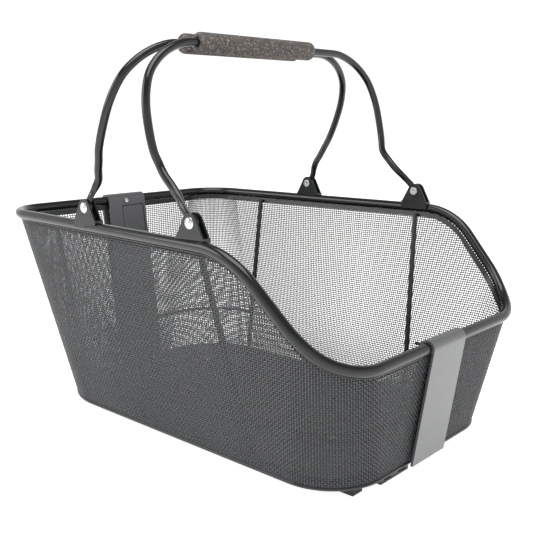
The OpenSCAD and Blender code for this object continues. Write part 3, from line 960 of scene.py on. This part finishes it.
@dataclass
class Bail:
    """A bent rod with an eye at each end, and the cork and rubber grip on its straight top."""

    end: End
    pivot_x: float
    pivot_y: float
    grip_x: float
    pivot_z: float = 210.0
    half_width: float = 157.0
    rise: float = 137.0
    rod: float = 7.0
    eye_radius: float = 6.2
    eye_thickness: float = 3.4
    bore: float = 3.05
    grip_diameter: float = 17.0
    grip_length: float = 148.0
    grip_shift: float = 17.0
    grip_round: float = 3.6
    pressed_to: float = 13.0
    round_from: float = 19.0
    bow: float = 3.5
    steep: float = 1.08
    upright: float = 0.21
    blend: float = 2.5

    def build(self, dresser: Dresser, finishes: Finishes) -> None:
        """Makes the rod and its grip.

        Args:
            dresser: What gives the pieces their finish and body.
            finishes: The finishes.
        """
        word = self.end.name.lower()
        body = Part.HIGH_BAIL if self.end is End.HIGH else Part.LOW_BAIL
        dresser.dress(self._rod(word), finishes.bail, "bail_paint", body, f"bail_{word}")
        dresser.dress(self._grip(word), finishes.grip, "cork_rubber", body, f"grip_{word}")

    def _lean(self, height: float) -> float:
        """How far the loop leans along the basket at a height above its pivots."""
        if self.end is End.HIGH:
            share = height / self.rise
            return share * (self.grip_x - self.pivot_x) + 4 * self.bow * share * (1 - share)
        near_pivot = self.steep * height
        near_grip = self.pivot_x - self.grip_x - self.upright * (self.rise - height)
        bend = math.hypot((near_pivot - near_grip) / 2, self.blend)
        return -((near_pivot + near_grip) / 2 - bend)

    def _loop(self) -> list[Vector]:
        """The rod's centre line, from the right pivot to the left one."""
        wide = self.half_width
        knots = [
            (self.pivot_y, 0.0),
            (self.pivot_y, 9.0),
            (self.pivot_y - 2.5, 16.0),
            (self.pivot_y - 3.8, 24.0),
            ((self.pivot_y + wide) / 2 - 3.5, 32.0),
            (wide - 3.6, 41.0),
            (wide - 1.0, 51.0),
            (wide, 66.0),
            (wide - 0.8, 84.0),
            (wide - 4.0, self.rise - 39.0),
            (wide - 9.5, self.rise - 27.0),
            (wide - 17.5, self.rise - 18.0),
            (wide - 27.5, self.rise - 10.5),
            (wide - 40.0, self.rise - 4.5),
            (wide - 53.0, self.rise - 0.9),
            (wide - 64.0, self.rise),
        ]
        half = []
        for out, height in smooth_line([Vector(k) for k in knots], 5):
            if height > self.eye_radius - 2.0:
                half.append(Vector((self.pivot_x + self._lean(height), -out, self.pivot_z + height)))
        return half + mirrored(half)[::-1]

    def _rod(self, word: str) -> bpy.types.Object:
        """Makes the rod and its two eyes as one piece."""
        rod = wires("rod_line_" + word, [self._loop()], self.rod / 2, 20)
        shape = bmesh.new()
        shape.from_mesh(rod.data)
        bpy.data.objects.remove(rod)
        bmesh.ops.scale(shape, vec=(1 / MM, 1 / MM, 1 / MM), verts=shape.verts)
        self._press_ends(shape)
        half = self.eye_thickness / 2
        profile = [
            (self.bore, -half),
            (self.eye_radius - 0.9, -half),
            (self.eye_radius - 0.25, -half + 0.3),
            (self.eye_radius, -half + 0.9),
            (self.eye_radius, half - 0.9),
            (self.eye_radius - 0.25, half - 0.3),
            (self.eye_radius - 0.9, half),
            (self.bore, half),
        ]
        for side in Side:
            centre = Vector((self.pivot_x, side.value * self.pivot_y, self.pivot_z))
            eye = turned(profile, centre, 48)
            mesh = bpy.data.meshes.new("eye")
            bmesh.ops.recalc_face_normals(eye, faces=eye.faces)
            eye.to_mesh(mesh)
            eye.free()
            shape.from_mesh(mesh)
            bpy.data.meshes.remove(mesh)
        return from_bmesh(shape, f"bail_rod_{word}")

    def _press_ends(self, shape: bmesh.types.BMesh) -> None:
        """Presses the rod flat at both ends, where it enters the brackets."""
        half = self._loop()[: len(self._loop()) // 2]
        for vert in shape.verts:
            height = vert.co.z - self.pivot_z
            if height > self.round_from:
                continue
            nearest = min(half, key=lambda p: abs(p.z - vert.co.z))
            middle = math.copysign(nearest.y, vert.co.y)
            pressed = self.eye_thickness / self.rod
            share = min(max((height - self.pressed_to) / (self.round_from - self.pressed_to), 0.0), 1.0)
            vert.co.y = middle + (vert.co.y - middle) * (pressed + (1 - pressed) * share)

    def _grip(self, word: str) -> bpy.types.Object:
        """Makes the grip: a sleeve with rounded ends."""
        outside = self.grip_diameter / 2
        half = self.grip_length / 2
        bore = self.rod / 2 + 0.1
        inner = outside - self.grip_round
        profile = [(bore, half), (bore, -half)]
        for place, sign in ((-half + self.grip_round, -1.0), (half - self.grip_round, 1.0)):
            for k in range(9):
                angle = math.pi / 2 * (1 - k / 8 if sign < 0 else k / 8)
                reach = self.grip_round * math.cos(angle)
                profile.append((inner + reach, place + sign * self.grip_round * math.sin(angle)))
        centre = Vector((self.grip_x, -self.grip_shift, self.pivot_z + self.rise))
        return from_bmesh(turned(profile, centre, 64), f"sleeve_{word}")


@dataclass
class Fittings:
    """The pressed, moulded and turned pieces that keep the frame's own shape, with rounded edges."""

    sheet: Softened = field(default_factory=lambda: Softened(0.45, 2))
    pressed: Softened = field(default_factory=lambda: Softened(0.5, 3))
    moulded: Softened = field(default_factory=lambda: Softened(0.8, 3))
    turned: Softened = field(default_factory=lambda: Softened(0.3, 2, 40.0))

    def build(self, dresser: Dresser, finishes: Finishes) -> None:
        """Dresses every fitting.

        Args:
            dresser: What gives the pieces their finish and body.
            finishes: The finishes.
        """
        for node in ("strap_high", "strap_low", "strap_cover_plate"):
            dresser.soften(node, finishes.strap, "strap_paint", self.sheet)
        for end in End:
            for side in Side:
                node = f"bracket_{end.name.lower()}_{side.name.lower()}"
                dresser.soften(node, finishes.bracket, "bracket_paint", self.pressed)
        for node in ("strap_screws", "rivets_high", "rivets_low", "floor_screws"):
            dresser.soften(node, finishes.bright, "bright_steel", self.turned)
        dresser.soften("floor_panel", finishes.floor, "floor_plastic", self.moulded)
        for node in ("rack_rail_right", "rack_rail_left"):
            dresser.soften(node, finishes.rail, "rail_plastic", self.moulded)
        dresser.soften("feet", finishes.foot, "foot_rubber", self.moulded)


# Studio


@dataclass(frozen=True)
class SoftBox:
    """A square soft box: where it hangs, its side in metres and its power in watts."""

    name: str
    place: tuple[float, float, float]
    size: float
    power: float

    def hang(self, aim: Vector) -> None:
        """Hangs the soft box.

        Args:
            aim: The point that it faces.
        """
        data = bpy.data.lights.new(self.name, "AREA")
        data.shape = "SQUARE"
        data.size = self.size
        data.energy = self.power
        light = bpy.data.objects.new(self.name, data)
        light.location = self.place
        light.rotation_euler = (aim - Vector(self.place)).to_track_quat("-Z", "Y").to_euler()
        bpy.context.scene.collection.objects.link(light)


@dataclass
class Studio:
    """A plain white room: a pale floor, light walls, a dim ceiling and two soft boxes."""

    camera_place: tuple[float, float, float] = (0.5044, -0.5564, 0.2929)
    camera_turn: float = 0.7299
    camera_drop: float = 0.1960
    lens: float = 53.54
    room_light: float = 1.1
    ceiling_light: float = 0.3
    wall_top: float = 0.3
    ceiling_start: float = 0.7
    floor_size: float = 12.0
    basket_middle: tuple[float, float, float] = (0.0, 0.0, 0.15)
    above: SoftBox = SoftBox("soft_box_above", (0.15, -0.25, 1.5), 1.1, 16.0)
    left: SoftBox = SoftBox("soft_box_left", (-1.0, -1.2, 0.9), 0.9, 8.0)

    def build(self) -> None:
        """Makes the camera, the lights and the floor."""
        self._camera()
        for box in (self.above, self.left):
            box.hang(Vector(self.basket_middle))
        self._room()
        self._floor()

    def _camera(self) -> None:
        """Places the camera."""
        data = bpy.data.cameras.new("camera")
        data.lens = self.lens
        data.sensor_width = 36.0
        data.clip_end = 50.0
        camera = bpy.data.objects.new("camera", data)
        camera.location = self.camera_place
        camera.rotation_euler = (math.pi / 2 - self.camera_drop, 0.0, self.camera_turn)
        bpy.context.scene.collection.objects.link(camera)
        bpy.context.scene.camera = camera
        bpy.context.scene.view_settings.view_transform = "Standard"

    def _room(self) -> None:
        """Lights the room: white walls all round under a dim ceiling."""
        world = bpy.data.worlds.new("white_room")
        world.use_nodes = True
        tree = world.node_tree
        tree.nodes.clear()
        heading = add_node(tree, "ShaderNodeTexCoord").outputs["Generated"]
        height = add_node(tree, "ShaderNodeSeparateXYZ", links={"Vector": heading}).outputs["Z"]
        light = add_node(
            tree,
            "ShaderNodeMapRange",
            {"interpolation_type": "SMOOTHSTEP"},
            values={
                "From Min": self.wall_top,
                "From Max": self.ceiling_start,
                "To Min": self.room_light,
                "To Max": self.ceiling_light,
            },
            links={"Value": height},
        )
        shade = add_node(
            tree,
            "ShaderNodeBackground",
            values={"Color": linear("#ffffff")},
            links={"Strength": light.outputs[0]},
        )
        add_node(tree, "ShaderNodeOutputWorld", links={"Surface": shade.outputs[0]})
        bpy.context.scene.world = world

    def _floor(self) -> None:
        """Lays the floor: a pale acrylic sheet, lit from below."""
        shape = bmesh.new()
        bmesh.ops.create_grid(shape, x_segments=1, y_segments=1, size=self.floor_size / 2 / MM)
        floor = from_bmesh(shape, "studio_floor")
        finish = Coating("lit_white_acrylic", "#f3f3f2", "#eeeeed", 0.6, 0.05, 2.0, 0.01, glow=0.85)
        floor.data.materials.append(finish.make())


def main() -> None:
    """Builds the basket piece by piece on the frame."""
    logging.basicConfig(level=logging.INFO, format="%(name)s: %(message)s")
    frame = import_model()
    Studio().build()
    finishes = Finishes()
    dresser = Dresser(frame["nodes"])
    wall = Wall()
    WovenMesh(wall).build(dresser, finishes)
    Rim(wall).build(dresser, finishes)
    Bracing(wall).build(dresser, finishes)
    Fittings().build(dresser, finishes)
    Bail(End.HIGH, pivot_x=-64.0, pivot_y=152.45, grip_x=-7.2).build(dresser, finishes)
    Bail(End.LOW, pivot_x=73.5, pivot_y=157.1, grip_x=11.2).build(dresser, finishes)
    bpy.context.view_layer.update()


if __name__ == "__main__":
    main()
